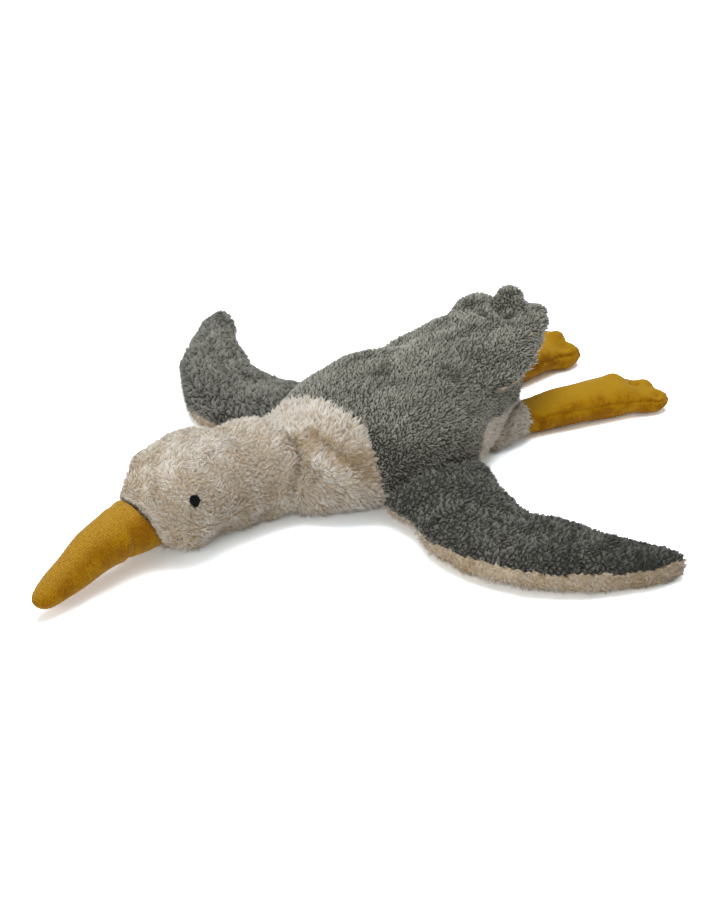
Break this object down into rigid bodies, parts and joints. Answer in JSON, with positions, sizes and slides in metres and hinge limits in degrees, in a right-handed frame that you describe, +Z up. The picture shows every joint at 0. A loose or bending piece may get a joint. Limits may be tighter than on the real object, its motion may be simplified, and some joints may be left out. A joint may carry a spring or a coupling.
{
  "type": "plush seagull",
  "caption": "Plush gull lying on its belly with spread wings: cream head and belly, grey back, wings and tail, mustard velour beak and legs",
  "frame": {"origin": "on the floor, under the middle of the part's box", "axes": "+Z up out of the floor, +Y from the beak towards the tail, +X towards the bird's own left wing"},
  "size_m": [0.5414, 0.5728, 0.0954],
  "materials": {
    "cream_plush": "short curly cream pile, matt",
    "grey_plush": "olive grey shaggy pile, matt",
    "mustard_velour": "mustard velour with a fine grain and a soft sheen",
    "black_thread": "black embroidery thread"
  },
  "bodies": {
    "root": {"back": "grey_plush", "beak": "mustard_velour", "chest_belly": "cream_plush", "cuff_left": "cream_plush", "cuff_right": "cream_plush", "eye_left": "black_thread", "eye_right": "black_thread", "head_neck": "cream_plush", "leg_left": "mustard_velour", "leg_right": "mustard_velour", "tail_underside": "cream_plush", "wing_top_left": "grey_plush", "wing_top_right": "grey_plush", "wing_underside_left": "cream_plush", "wing_underside_right": "cream_plush"}
  },
  "joints": []
}
